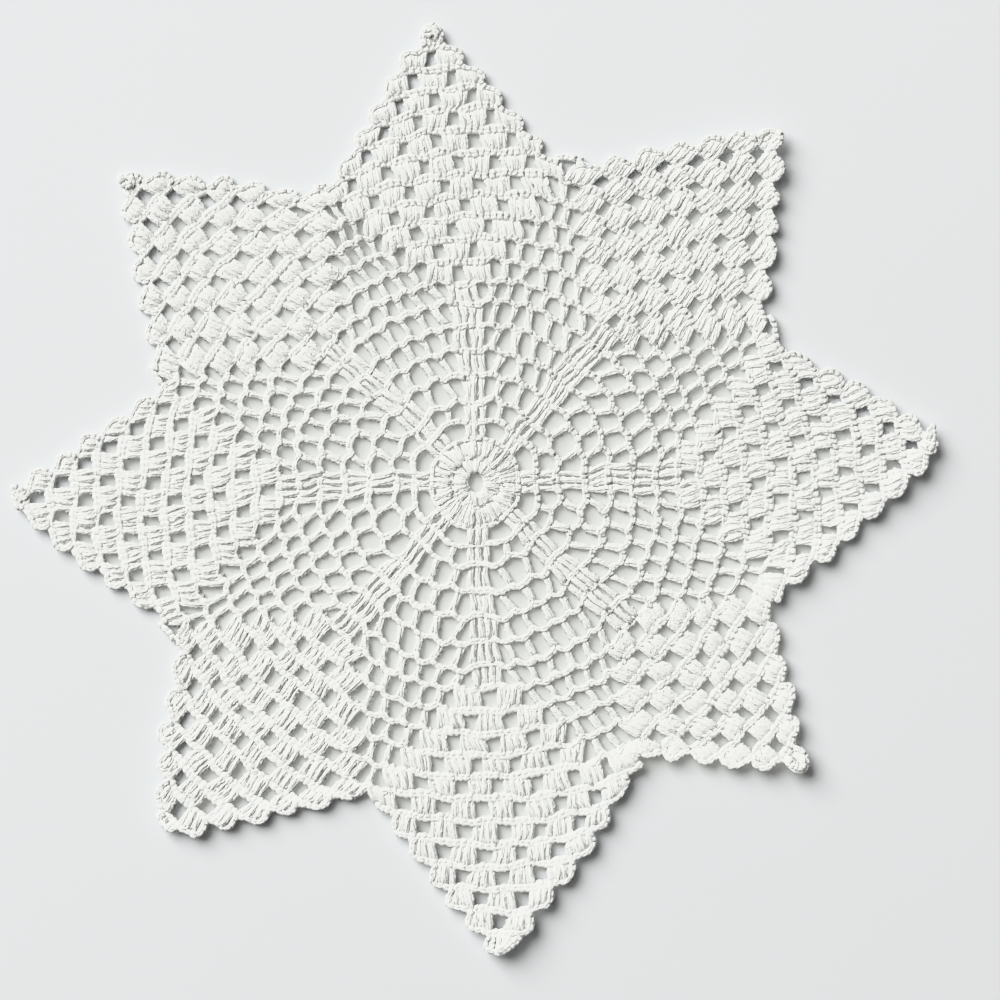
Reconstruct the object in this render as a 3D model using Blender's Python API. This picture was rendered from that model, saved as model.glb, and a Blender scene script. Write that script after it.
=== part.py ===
"""Crocheted lace doily, one flat piece of cotton thread worked in rounds.

A disc of close stitches in the middle, eight spokes, a net of chain spaces between them and
eight points worked as a checkerboard of blocks and small windows, ending in a scalloped edge.
It lies on its back at z = 0, with the middle of its outline over the origin.
"""

import math

import bmesh
import bpy
import mathutils
import numpy as np

MM = 0.001
THICKNESS = 1.8 * MM  # a double crochet fabric in size 10 cotton
HUB_AT = (0.086, 1.820)  # mm, where the hub lies when the outline is centred on the origin

# Rounds of the middle, in mm from the hub: the hole, the two close rounds, the seven net rounds.
ROUND_TOPS = (2.7, 8.3, 14.4, 19.6, 26.0, 34.2, 42.2, 50.2, 58.2, 65.0)
HUB_ROUNDS = 2
NET_ROUNDS = 7
FOOT_LEVEL = 7.0  # the points begin on top of the seventh net round
FOOT_RADIUS = ROUND_TOPS[-1]
ROW_CURVE = 0.8  # rows of the points bend less than circles round the hub would
STITCHES_IN_REPEAT = 6.0  # four posts and two chains
ROPE_HALF = 0.75  # mm, half the width of a post or a chain arch of the net
ARCH_BOW = 0.5  # mm, an arch is drawn outwards in its middle by the post standing in it
END_WINDOW = 0.25  # by this share the net windows beside a point are wider than the others
END_LEAN = 0.1  # by this share of an arch the post beside them stands away from the point
NOTCH_GAP = 0.9  # mm left clear on each side of the notch between two points
NOTCH_DEPTH = 1.6  # mm, how far the notch reaches below the corners beside it
LIES_FLAT = 0.2  # mm, waves lower than this are pressed flat on the table by their own weight
CUT_ROUNDS = range(5, 12)  # rounds whose windows are the largest, cut through

# One row per point, clockwise from the top. Bearings are clockwise from +Y.
# hub, foot, waist, tip: bearing of the middle line in degrees at levels 2, 7.5, 12.5 and the tip
# start: radius of its foot, row: height of a row, reach: radius of the tip, in mm
# pitch: a block and a window, in mm; tilt: slope of its rows, in degrees
# rows: number of rows below the tip; left, right: the widest row on that side
# lift: how far the tip stands off the table, in mm
POINT_COLUMNS = (
    "hub", "foot", "waist", "tip", "start", "row", "reach", "pitch", "tilt",
    "rows", "left", "right", "lift",
)
POINT_ROWS = (
    (359.5, 355.5, 353.6, 354.2, 64.0, 6.91, 147.2, 11.6, 1.0, 11, 6, 6, 0.7),
    (401.0, 400.7, 399.2, 400.9, 64.3, 7.04, 148.2, 11.8, 0.0, 11, 6, 6, 3.2),
    (448.5, 448.1, 445.7, 444.7, 64.6, 7.20, 148.0, 11.8, 3.5, 11, 6, 5, 3.0),
    (493.3, 492.6, 491.1, 490.6, 66.4, 7.17, 139.5, 11.8, 1.0, 9, 5, 5, 3.8),
    (537.3, 536.7, 535.1, 537.5, 65.6, 7.14, 150.4, 12.5, -2.5, 11, 5, 6, 2.8),
    (582.0, 582.8, 581.9, 582.4, 64.3, 7.30, 149.0, 11.8, -1.3, 11, 6, 6, 2.2),
    (630.5, 627.4, 626.5, 628.3, 63.2, 7.26, 147.8, 11.8, -3.5, 11, 6, 6, 1.0),
    (675.7, 672.0, 670.7, 671.0, 63.8, 7.20, 149.8, 11.8, -2.5, 11, 6, 6, 0.8),
)

# Outline of a scalloped row end: share of the row height, share of the step between two rows.
SCALLOP = ((1.03, 0.34), (0.95, 0.72), (0.74, 0.98), (0.42, 1.07), (0.12, 1.0))
# Outline of a tip: share of its height, share of its half width.
TIP = ((0.30, 1.04), (0.72, 0.86), (1.0, 0.36))

points = [dict(zip(POINT_COLUMNS, row)) for row in POINT_ROWS]


def smooth(low, high, value):
    share = np.clip((value - low) / (high - low), 0.0, 1.0)
    return share * share * (3.0 - 2.0 * share)


def relief(x, y):
    """Height in mm of the underside above the table, at x, y in mm from the hub."""
    radius = np.hypot(x, y)
    bearing = np.degrees(np.arctan2(x, y)) % 360.0
    height = 0.0
    for point in points:
        away = (bearing - point["tip"] + 180.0) % 360.0 - 180.0
        height = height + point["lift"] * np.exp(-((away / 13.0) ** 2)) * (
            smooth(75.0, point["reach"], radius) ** 1.2
        )
    turn = np.radians(bearing)
    wave = 0.5 + 0.5 * np.sin(5.0 * turn + 0.6 + radius / 40.0)
    small = 0.5 + 0.5 * np.sin(13.0 * turn - radius / 11.0)
    height = height + (0.55 * wave + 0.35 * small) * smooth(16.0, 60.0, radius)
    gather = (bearing - 331.8 + 180.0) % 360.0 - 180.0
    pucker = np.exp(-((gather * radius / 400.0) ** 2))
    height = height + 2.2 * pucker * smooth(62.0, 92.0, radius) * (1.0 - smooth(98.0, 112.0, radius))
    return np.maximum(height - LIES_FLAT, 0.0)


def half_reach(point, side, row):
    """Repeats from the middle line of a point to the middle of its end block in this row."""
    if row < point[side]:
        return row / 2.0
    return (point["rows"] + 1 - row) / 2.0


def axis_radius(point, level):
    scale = point["start"] / FOOT_RADIUS
    inner = np.interp(level, range(-HUB_ROUNDS, NET_ROUNDS + 1), ROUND_TOPS)
    scale = 1.0 + (scale - 1.0) * np.clip(level / FOOT_LEVEL, 0.0, 1.0)
    return inner * scale + max(level - FOOT_LEVEL, 0.0) * point["row"]


def place(point, level, side_way):
    """Point of the plan in mm: level counts rounds, side_way is mm to the right of the middle line."""
    end = FOOT_LEVEL + point["rows"] + 1.0
    bearing = np.interp(
        level,
        (2.0, 7.5, 12.5, end),
        (point["hub"], point["foot"], point["waist"], point["tip"]),
    )
    along = axis_radius(point, level)
    outward = math.radians(bearing)
    tilt = point["tilt"] * np.clip((level - FOOT_LEVEL) / 5.0, 0.0, 1.0)
    sideward = math.radians(bearing + 90.0 - tilt)
    curve = ROW_CURVE if level >= FOOT_LEVEL else 1.0
    along -= curve * side_way * side_way / (2.0 * along)
    x = along * math.sin(outward) + side_way * math.sin(sideward)
    y = along * math.cos(outward) + side_way * math.cos(sideward)
    return np.array((x, y))


def bearing_of(spot):
    return math.degrees(math.atan2(spot[0], spot[1])) % 360.0


def between(first, last, share):
    """Spot on the round between two spots, going clockwise."""
    start = bearing_of(first)
    turn = (bearing_of(last) - start + 180.0) % 360.0 - 180.0
    radius = np.hypot(*first) * (1.0 - share) + np.hypot(*last) * share
    bearing = math.radians(start + turn * share)
    return radius * np.array((math.sin(bearing), math.cos(bearing)))


def stitch(point):
    return point["pitch"] / STITCHES_IN_REPEAT


def edge_side_way(point, side, row, squeeze):
    """mm from the middle line to the outside of the end block of this row."""
    wide = half_reach(point, side, row) * point["pitch"] + 2.0 * stitch(point)
    return wide * (1.0 - (1.0 - squeeze) * max(0.0, 1.0 - abs(row - point[side]) / 4.0))


def squeezes():
    """Share to which the widest rows of two neighbours shrink so that they stay apart."""
    shares = {}
    for number, point in enumerate(points):
        after = points[(number + 1) % len(points)]
        right = place(point, FOOT_LEVEL + point["right"], edge_side_way(point, "right", point["right"], 1.0))
        left = place(after, FOOT_LEVEL + after["left"], -edge_side_way(after, "left", after["left"], 1.0))
        gap = (bearing_of(left) - bearing_of(right) + 180.0) % 360.0 - 180.0
        spare = math.radians(gap) * np.hypot(*right) / 2.0 - NOTCH_GAP
        for key, who in (((number, "right"), point), (((number + 1) % len(points), "left"), after)):
            wide = edge_side_way(who, key[1], who[key[1]], 1.0)
            shares[key] = min(1.0, (wide + spare) / wide)
    return shares


squeeze = squeezes()


def rim_spot(number, side, row, rise, out):
    """Spot on the scalloped edge of one side of a point."""
    point = points[number]
    sign = 1.0 if side == "right" else -1.0
    share = squeeze[(number, side)]
    wide = edge_side_way(point, side, row, share)
    narrow = 2.0 * stitch(point)
    if row < point["rows"]:
        narrow = edge_side_way(point, side, row + 1, share)
    side_way = narrow + (wide - narrow) * out
    return place(point, FOOT_LEVEL + row - 1.0 + rise, sign * side_way)


def point_outline(number):
    """Spots round one point, from its left notch over the tip to its right notch."""
    point = points[number]
    spots = []
    for row in range(point["left"], point["rows"] + 1):
        for rise, out in reversed(SCALLOP):
            if row > point["left"] or rise > 0.7:
                spots.append(rim_spot(number, "left", row, rise, out))
        spots.append(rim_spot(number, "left", row, 1.0, 0.0))
    base = FOOT_LEVEL + point["rows"]
    height = (point["reach"] - axis_radius(point, base)) / point["row"]
    for side in (-1.0, 1.0):
        for rise, out in TIP if side < 0.0 else reversed(TIP):
            side_way = side * out * 2.0 * stitch(point)
            spots.append(place(point, base + rise * height, side_way))
    for row in range(point["rows"], point["right"] - 1, -1):
        spots.append(rim_spot(number, "right", row, 1.0, 0.0))
        for rise, out in SCALLOP:
            if row > point["right"] or rise > 0.7:
                spots.append(rim_spot(number, "right", row, rise, out))
    return spots


def notch(number):
    """Bottom of the notch after a point, a little nearer the hub than the scallops on both sides."""
    after = (number + 1) % len(points)
    rise, out = SCALLOP[2]
    first = rim_spot(number, "right", points[number]["right"], rise, out)
    last = rim_spot(after, "left", points[after]["left"], rise, out)
    middle = between(first, last, 0.5)
    return middle * (1.0 - NOTCH_DEPTH / np.hypot(*middle))


def net_edge(number, side, level):
    """Top of the last post of the spoke or of the end block, where the net begins."""
    point = points[number]
    sign = 1.0 if side == "right" else -1.0
    if level <= NET_ROUNDS:
        posts = 3 if level <= 3 else 4
        return place(point, float(level), sign * (posts - 1) / 2.0 * 2.5)
    row = level - NET_ROUNDS
    wide = edge_side_way(point, side, row, squeeze[(number, side)]) - 0.5 * stitch(point)
    return place(point, float(level), sign * wide)


def net_count(level):
    """Windows between two spokes, or between two points, in this round."""
    return level if level <= NET_ROUNDS else 2 * NET_ROUNDS - level


def top_share(level, post):
    """Share of the net's width at which the top of a post stands, counted from the clockwise start."""
    count = net_count(level)
    if post in (0, count):
        return float(post > 0)
    end = END_WINDOW if level > NET_ROUNDS else 0.0
    return (post + end) / (count + 2.0 * end)


def foot_share(level, post):
    """The same for the foot, which stands in an arch of the round below."""
    count = net_count(level)
    if level <= NET_ROUNDS:
        if post in (0, count):
            return float(post > 0)
        return 0.5 * (top_share(level - 1, post - 1) + top_share(level - 1, post))
    if post == 0:
        return top_share(level - 1, 1)
    if post == count:
        return top_share(level - 1, count)
    lean = END_LEAN * ((post == 1) - (post == count - 1))
    return (0.5 - lean) * top_share(level - 1, post) + (0.5 + lean) * top_share(level - 1, post + 1)


def net_spot(number, level, share, bow):
    """Spot on the round of arches closing this net round."""
    after = (number + 1) % len(points)
    spot = between(net_edge(number, "right", level), net_edge(after, "left", level), share)
    return spot * (1.0 + bow / np.hypot(*spot))


def window(number, level, place_in_net):
    """Corners of one window of the net, at the middle of its threads."""
    tops = [top_share(level, place_in_net), top_share(level, place_in_net + 1)]
    feet = [foot_share(level, place_in_net), foot_share(level, place_in_net + 1)]
    return [
        net_spot(number, level, tops[0], 0.0),
        net_spot(number, level, 0.5 * (tops[0] + tops[1]), ARCH_BOW),
        net_spot(number, level, tops[1], 0.0),
        net_spot(number, level - 1, feet[1], ARCH_BOW),
        net_spot(number, level - 1, 0.5 * (feet[0] + feet[1]), -ARCH_BOW),
        net_spot(number, level - 1, feet[0], ARCH_BOW),
    ]


def inset(corners, distance):
    """The same clockwise polygon with every side moved inwards."""
    count = len(corners)
    lines = []
    for here in range(count):
        start, end = corners[here], corners[(here + 1) % count]
        way = (end - start) / np.hypot(*(end - start))
        inward = np.array((way[1], -way[0]))
        lines.append((start + inward * distance, way))
    moved = []
    for here in range(count):
        (a, u), (b, v) = lines[here - 1], lines[here]
        cross = u[0] * v[1] - u[1] * v[0]
        if abs(cross) < 0.05:
            moved.append(b)
            continue
        away = b - a
        moved.append(a + u * (away[0] * v[1] - away[1] * v[0]) / cross)
    return moved


def circle(radius, count):
    turns = [2.0 * math.pi * step / count for step in range(count)]
    return [np.array((radius * math.sin(turn), radius * math.cos(turn))) for turn in turns]


def inside(spot, corners):
    hit = False
    for here in range(len(corners)):
        (ax, ay), (bx, by) = corners[here], corners[here - 1]
        if (ay > spot[1]) != (by > spot[1]) and spot[0] < (bx - ax) * (spot[1] - ay) / (by - ay) + ax:
            hit = not hit
    return hit


def build_doily():
    rim = []
    for number in range(len(points)):
        rim.extend(point_outline(number))
        rim.append(notch(number))
    openings = [circle(ROUND_TOPS[0], 12)]
    for number in range(len(points)):
        for level in CUT_ROUNDS:
            for place_in_net in range(net_count(level)):
                openings.append(inset(window(number, level, place_in_net), ROPE_HALF))

    spots = []
    edges = []
    for loop in [rim] + openings:
        start = len(spots)
        spots.extend(loop)
        edges.extend((start + step, start + (step + 1) % len(loop)) for step in range(len(loop)))
    spots.extend(circle(ROUND_TOPS[2], 24))
    for point in points:
        for level in (1.5, 3.5):
            spots.append(place(point, level, 0.0))
        for row in range(1, point["rows"], 2):
            for across in (-2.0, -1.0, 0.0, 1.0, 2.0):
                if abs(across) < min(row, point["rows"] - row) / 2.0:
                    spots.append(place(point, FOOT_LEVEL + row, across * point["pitch"]))

    flat = [mathutils.Vector(spot) for spot in spots]
    found = mathutils.geometry.delaunay_2d_cdt(flat, edges, [], 1, 1e-6, False)
    plan, faces = found[0], found[2]

    body = bmesh.new()
    corners = [body.verts.new((spot.x, spot.y, 0.0)) for spot in plan]
    boxes = [(np.min(loop, axis=0), np.max(loop, axis=0), loop) for loop in openings]
    for face in faces:
        middle = sum((plan[index] for index in face), mathutils.Vector((0.0, 0.0))) / len(face)
        cut = any(
            low[0] < middle.x < high[0] and low[1] < middle.y < high[1] and inside(middle, loop)
            for low, high, loop in boxes
        )
        if not cut and inside(middle, rim):
            body.faces.new([corners[index] for index in face])
    loose = [corner for corner in body.verts if not corner.link_faces]
    bmesh.ops.delete(body, geom=loose, context="VERTS")
    raised = bmesh.ops.extrude_face_region(body, geom=body.faces[:])
    upper = [item for item in raised["geom"] if isinstance(item, bmesh.types.BMVert)]
    is_upper = set(upper)
    for corner in body.verts:
        height = float(relief(corner.co.x, corner.co.y)) * MM
        x, y = (corner.co.x + HUB_AT[0]) * MM, (corner.co.y + HUB_AT[1]) * MM
        corner.co = (x, y, height + (THICKNESS if corner in is_upper else 0.0))
    bmesh.ops.recalc_face_normals(body, faces=body.faces)
    return body


for item in list(bpy.data.objects):
    bpy.data.objects.remove(item)

cotton = bpy.data.materials.new("cotton_thread")
cotton.use_nodes = True
surface = cotton.node_tree.nodes["Principled BSDF"]
surface.inputs["Base Color"].default_value = (0.86, 0.87, 0.84, 1.0)
surface.inputs["Roughness"].default_value = 0.9

body = build_doily()
mesh = bpy.data.meshes.new("doily")
body.to_mesh(mesh)
body.free()
mesh.materials.append(cotton)
doily = bpy.data.objects.new("doily", mesh)
bpy.context.collection.objects.link(doily)

extent = np.array([corner.co for corner in mesh.vertices])
print("doily extent", extent.min(axis=0), extent.max(axis=0), "corners", len(extent))
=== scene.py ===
# %% [markdown]
# # A crocheted lace doily, built stitch by stitch
# The real doily is one cotton thread, hooked into rounds from the middle outwards: a close disc,
# eight spokes with a net of chain arches between them, and eight points worked as a checkerboard
# of small blocks and windows. It could be drawn as one cut-out sheet with a lace texture, but then
# every edge and every shadow would be flat. So each stitch is a piece of real thread here, and
# the whole cloth is laid out by repeating a few stitch shapes on the chart's own lattice.

# %% Open the frame
import math

import bmesh
import bpy
import numpy as np
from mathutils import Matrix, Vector


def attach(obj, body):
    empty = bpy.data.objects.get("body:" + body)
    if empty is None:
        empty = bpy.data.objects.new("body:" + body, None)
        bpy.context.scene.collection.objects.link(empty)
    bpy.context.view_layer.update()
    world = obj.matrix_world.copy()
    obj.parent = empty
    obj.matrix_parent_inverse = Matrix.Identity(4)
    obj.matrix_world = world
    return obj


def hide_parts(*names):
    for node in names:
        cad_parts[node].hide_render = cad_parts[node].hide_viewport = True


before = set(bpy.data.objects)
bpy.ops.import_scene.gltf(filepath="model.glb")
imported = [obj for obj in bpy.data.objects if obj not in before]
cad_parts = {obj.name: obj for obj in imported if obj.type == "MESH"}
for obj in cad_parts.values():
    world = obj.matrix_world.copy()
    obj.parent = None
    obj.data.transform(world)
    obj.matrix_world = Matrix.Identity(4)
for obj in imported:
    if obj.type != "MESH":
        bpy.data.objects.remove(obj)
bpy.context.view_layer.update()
MM = 0.001

# %% [markdown]
# ## The chart
# A crochet chart is a lattice: rounds in the middle, rows in the points. The sizes are those of
# the solid underneath, in millimetres from the hub. Levels -2 to 0 are the close rounds, 1 to 7
# the net rounds, and from 8 on the rows of the points, with the net narrowing between them.
#
# No two points came out alike, so each has a row in a table: the bearings in degrees of its middle
# line at the hub, foot, waist and tip, the radius of its foot, the height of a row, the reach of
# its tip, the width of one repeat of block and window, the slope of its rows, the number of rows,
# the widest row on each side, the lift of its tip, how full its blocks are, and how far its two
# edges curl up.

# %% Sizes of the chart
HUB_AT = (0.086, 1.820)
ROUND_TOPS = (2.7, 8.3, 14.4, 19.6, 26.0, 34.2, 42.2, 50.2, 58.2, 65.0)
HUB_ROUNDS = 2
NET_ROUNDS = 7
FOOT_LEVEL = 7.0
FOOT_RADIUS = ROUND_TOPS[-1]
BEND_LEVELS = (2.0, 7.5, 12.5)
TILT_LEVELS = 5.0
ROW_CURVE = 0.8
STITCHES_IN_REPEAT = 6.0
HALF_BLOCK = 2.0
SPOKE_STEP = 2.5
ARCH_BOW = 1.6
END_WINDOW = 0.25
END_LEAN = 0.1
NOTCH_GAP = 0.9
DRAWN_ROWS = 4.0

POINT_COLUMNS = (
    "name", "hub", "foot", "waist", "tip", "start", "row", "reach", "pitch", "tilt",
    "rows", "left", "right", "lift", "full", "curl_left", "curl_right",
)
POINT_ROWS = (
    ("north", 359.5, 355.5, 353.6, 354.2, 64.0, 6.91, 147.2, 11.6, 1.0,
     11, 6, 6, 0.7, 0.99, 0.0, 0.6),
    ("north_east", 401.0, 400.7, 399.2, 400.9, 64.3, 7.04, 148.2, 11.8, 0.0,
     11, 6, 6, 2.2, 1.0, 0.0, 0.9),
    ("east", 448.5, 448.1, 445.7, 444.7, 64.6, 7.20, 148.0, 11.8, 3.5,
     11, 6, 5, 1.8, 1.06, 0.1, 1.3),
    ("south_east", 493.3, 492.6, 491.1, 490.6, 66.4, 7.17, 139.5, 11.8, 1.0,
     9, 5, 5, 2.4, 0.97, 0.7, 0.9),
    ("south", 537.3, 536.7, 535.1, 537.5, 65.6, 7.14, 150.4, 12.5, -2.5,
     11, 5, 6, 1.9, 0.92, 1.2, 0.1),
    ("south_west", 582.0, 582.8, 581.9, 582.4, 64.3, 7.30, 149.0, 11.8, -1.3,
     11, 6, 6, 1.5, 0.95, 0.9, 0.1),
    ("west", 630.5, 627.4, 626.5, 628.3, 63.2, 7.26, 147.8, 11.8, -3.5,
     11, 6, 6, 1.0, 0.98, 0.5, 0.0),
    ("north_west", 675.7, 672.0, 670.7, 671.0, 63.8, 7.20, 149.8, 11.8, -2.5,
     11, 6, 6, 0.8, 0.98, 0.0, 0.0),
)
SCALLOP = ((0.97, 0.22), (0.97, 0.62), (0.80, 0.98), (0.46, 1.14), (0.14, 1.04))
TIP = ((0.30, 1.04), (0.72, 0.86), (1.0, 0.36))
points = [dict(zip(POINT_COLUMNS, row)) for row in POINT_ROWS]
SIDES = {"left": -1.0, "right": 1.0}
print("points:", [point["name"] for point in points])

# %% [markdown]
# ## How it lies
# Lace never lies quite flat: its tips lift, its edges curl up, the net waves, and it puckers at
# one notch and at the foot of one point. A wave is its rise, how often it goes round, its start
# and how slowly it drifts outwards; a pucker is its bearing, radius, length, width and rise. The
# lowest part of the waves is pressed flat on the table.

# %% How far the cloth stands off the table
LIES_FLAT = 0.2
LIFT_FROM, LIFT_TURN, LIFT_POWER = 75.0, 13.0, 2.4
NARROWING = 0.86
CURL_WIDE = 7.0
CURL_TURNS = (40.0, 25.0)
CURL_RADII = (88.0, 102.0)
WAVES = ((0.55, 5.0, 0.6, 40.0), (0.35, 13.0, 0.0, -11.0))
WAVE_RADII = (16.0, 60.0)
PUCKERS = ((331.8, 95.0, 14.0, 6.5, 2.2), (40.3, 66.0, 6.0, 6.0, 1.5))


def smooth(low, high, value):
    share = np.clip((value - low) / (high - low), 0.0, 1.0)
    return share * share * (3.0 - 2.0 * share)


def clockwise(first, last):
    """Degrees clockwise from one bearing to another, between -180 and 180."""
    return (last - first + 180.0) % 360.0 - 180.0


def heading(turn):
    """Unit way in the plane for a bearing in radians."""
    return np.array((math.sin(turn), math.cos(turn)))


def relief(x, y):
    """Height in mm of the underside of the cloth, at x, y in mm from the hub."""
    radius = np.hypot(x, y)
    bearing = np.degrees(np.arctan2(x, y)) % 360.0
    height = 0.0
    for point in points:
        away = clockwise(point["tip"], bearing)
        outer = smooth(LIFT_FROM, point["reach"], radius) ** LIFT_POWER
        height = height + point["lift"] * np.exp(-((away / LIFT_TURN) ** 2)) * outer
        side_way = radius * np.sin(np.radians(away))
        half_wide = (point["reach"] - radius) * NARROWING
        curl = np.where(side_way < 0.0, point["curl_left"], point["curl_right"])
        near = smooth(*CURL_TURNS, np.abs(away)) * smooth(*CURL_RADII, radius)
        height = height + curl * near * smooth(CURL_WIDE, 0.0, half_wide - np.abs(side_way))
    turn = np.radians(bearing)
    waves = 0.0
    for rise, times_round, start, drift in WAVES:
        waves = waves + rise * (0.5 + 0.5 * np.sin(times_round * turn + start + radius / drift))
    height = np.maximum(height + waves * smooth(*WAVE_RADII, radius) - LIES_FLAT, 0.0)
    for bearing_at, radius_at, long_in, wide_in, rise in PUCKERS:
        aside = np.radians(clockwise(bearing_at, bearing)) * radius
        outwards = radius - radius_at
        height = height + rise * np.exp(-((aside / wide_in) ** 2) - (outwards / long_in) ** 2)
    return height


tip_lifts = [relief(*(heading(math.radians(point["tip"])) * point["reach"])) for point in points]
print("lift of the cloth at the tips in mm:", [round(float(lift), 1) for lift in tip_lifts])

# %% [markdown]
# ## Finding a stitch
# Every stitch has a point, a level, and a way to the side of that point's middle line. The middle
# lines bend a little and the rows sag towards their ends, as in hand work. Neighbouring points
# are drawn in just enough to stay apart at the notches.

# %% Places on the lattice


def half_reach(point, side, row):
    """Repeats from the middle line of a point to the middle of its end block in this row."""
    if row < point[side]:
        return row / 2.0
    return (point["rows"] + 1 - row) / 2.0


def axis_radius(point, level):
    inner = np.interp(level, range(-HUB_ROUNDS, NET_ROUNDS + 1), ROUND_TOPS)
    foot = point["start"] / FOOT_RADIUS
    scale = 1.0 + (foot - 1.0) * np.clip(level / FOOT_LEVEL, 0.0, 1.0)
    return inner * scale + max(level - FOOT_LEVEL, 0.0) * point["row"]


def outward(point, level):
    """Unit way from the hub along the middle line of a point, and its bearing in degrees."""
    levels = (*BEND_LEVELS, FOOT_LEVEL + point["rows"] + 1.0)
    bearing = np.interp(level, levels, [point[bend] for bend in ("hub", "foot", "waist", "tip")])
    return heading(math.radians(bearing)), bearing


def place(point, level, side_way):
    """Spot in mm: level counts rounds, side_way is mm to the right of the point's middle line."""
    away, bearing = outward(point, level)
    along = axis_radius(point, level)
    tilt = point["tilt"] * np.clip((level - FOOT_LEVEL) / TILT_LEVELS, 0.0, 1.0)
    curve = ROW_CURVE if level >= FOOT_LEVEL else 1.0
    along -= curve * side_way * side_way / (2.0 * along)
    return along * away + side_way * heading(math.radians(bearing + 90.0 - tilt))


def bearing_of(spot):
    return math.degrees(math.atan2(spot[0], spot[1])) % 360.0


def between(first, last, share):
    """Spot on the round between two spots, going clockwise."""
    start = bearing_of(first)
    turn = clockwise(start, bearing_of(last))
    radius = np.hypot(*first) * (1.0 - share) + np.hypot(*last) * share
    return radius * heading(math.radians(start + turn * share))


def stitch(point):
    return point["pitch"] / STITCHES_IN_REPEAT


def next_point(number):
    return (number + 1) % len(points)


print("one stitch in mm:", [round(stitch(point), 2) for point in points])

# %% Edges of the points


def drawn_in(point, side, row, share):
    """Share of its full width that a row has where two neighbours would touch."""
    return 1.0 - (1.0 - share) * max(0.0, 1.0 - abs(row - point[side]) / DRAWN_ROWS)


def edge_side_way(point, side, row, share):
    """mm from the middle line to the outside of the end block of this row."""
    wide = half_reach(point, side, row) * point["pitch"] + HALF_BLOCK * stitch(point)
    return wide * drawn_in(point, side, row, share)


def squeezes():
    """Share to which the widest rows of two neighbours shrink so that they stay apart."""
    shares = {}
    for number, point in enumerate(points):
        after = points[next_point(number)]
        wide_right = edge_side_way(point, "right", point["right"], 1.0)
        wide_left = edge_side_way(after, "left", after["left"], 1.0)
        right = place(point, FOOT_LEVEL + point["right"], wide_right)
        left = place(after, FOOT_LEVEL + after["left"], -wide_left)
        gap = math.radians(clockwise(bearing_of(right), bearing_of(left)))
        spare = gap * np.hypot(*right) / 2.0 - NOTCH_GAP
        shares[(number, "right")] = min(1.0, (wide_right + spare) / wide_right)
        shares[(next_point(number), "left")] = min(1.0, (wide_left + spare) / wide_left)
    return shares


squeeze = squeezes()


def edge_of(number, side, row):
    return edge_side_way(points[number], side, row, squeeze[(number, side)])


def rim_spot(number, side, row, rise, out):
    """Spot on the scalloped edge of one side of a point."""
    point = points[number]
    wide, narrow = edge_of(number, side, row), HALF_BLOCK * stitch(point)
    if row < point["rows"]:
        narrow = edge_of(number, side, row + 1)
    side_way = narrow + (wide - narrow) * out
    return place(point, FOOT_LEVEL + row - 1.0 + rise, SIDES[side] * side_way)


print("rows drawn in:", {points[key[0]]["name"] + " " + key[1]: round(share, 3)
                         for key, share in squeeze.items() if share < 1.0})

# %% Places in the net


def posts_in_spoke(level):
    return 3 if level <= 3 else 4


def spoke_half(level):
    return (posts_in_spoke(level) - 1) / 2.0 * SPOKE_STEP


def net_edge(number, side, level):
    """Top of the last post of the spoke or of the end block, where the net begins."""
    point = points[number]
    if level <= NET_ROUNDS:
        wide = spoke_half(level)
    else:
        wide = edge_of(number, side, level - NET_ROUNDS) - 0.5 * stitch(point)
    return place(point, level, SIDES[side] * wide)


def net_count(level):
    """Windows between two spokes, or between two points, in this round."""
    return level if level <= NET_ROUNDS else 2 * NET_ROUNDS - level


def top_share(level, post):
    """Share of the net's width at which the top of a post stands, counted clockwise."""
    count = net_count(level)
    if post in (0, count):
        return float(post > 0)
    end = END_WINDOW if level > NET_ROUNDS else 0.0
    return (post + end) / (count + 2.0 * end)


def foot_share(level, post):
    """The same for the foot, which stands in an arch of the round below."""
    count = net_count(level)
    if level <= NET_ROUNDS:
        return 0.5 * (top_share(level - 1, post - 1) + top_share(level - 1, post))
    lean = END_LEAN * ((post == 1) - (post == count - 1))
    return (0.5 - lean) * top_share(level - 1, post) + (0.5 + lean) * top_share(level - 1, post + 1)


def net_spot(number, level, share, bow=0.0):
    """Spot on the round of arches closing this net round, bow mm further out."""
    last = net_edge(next_point(number), "left", level)
    spot = between(net_edge(number, "right", level), last, share)
    return spot * (1.0 + bow / np.hypot(*spot))


print("windows in each net round:", [net_count(level) for level in range(1, 2 * NET_ROUNDS)])

# %% [markdown]
# ## The thread
# Size 10 crochet cotton is a hard round thread of about half a millimetre. In a stitch it lies
# doubled, so a strand here is about a millimetre thick. It is a flat grid rolled into a tube along
# a short path: its columns and rows give a clean map, around the thread and along it, and welding
# the seam and filling the two ends closes it. Curves with a bevel keep no such map for the twist.

# %% Roll a length of thread
STRAND = 0.6
STRAND_SIDES = 5
WELD = 0.02


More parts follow.
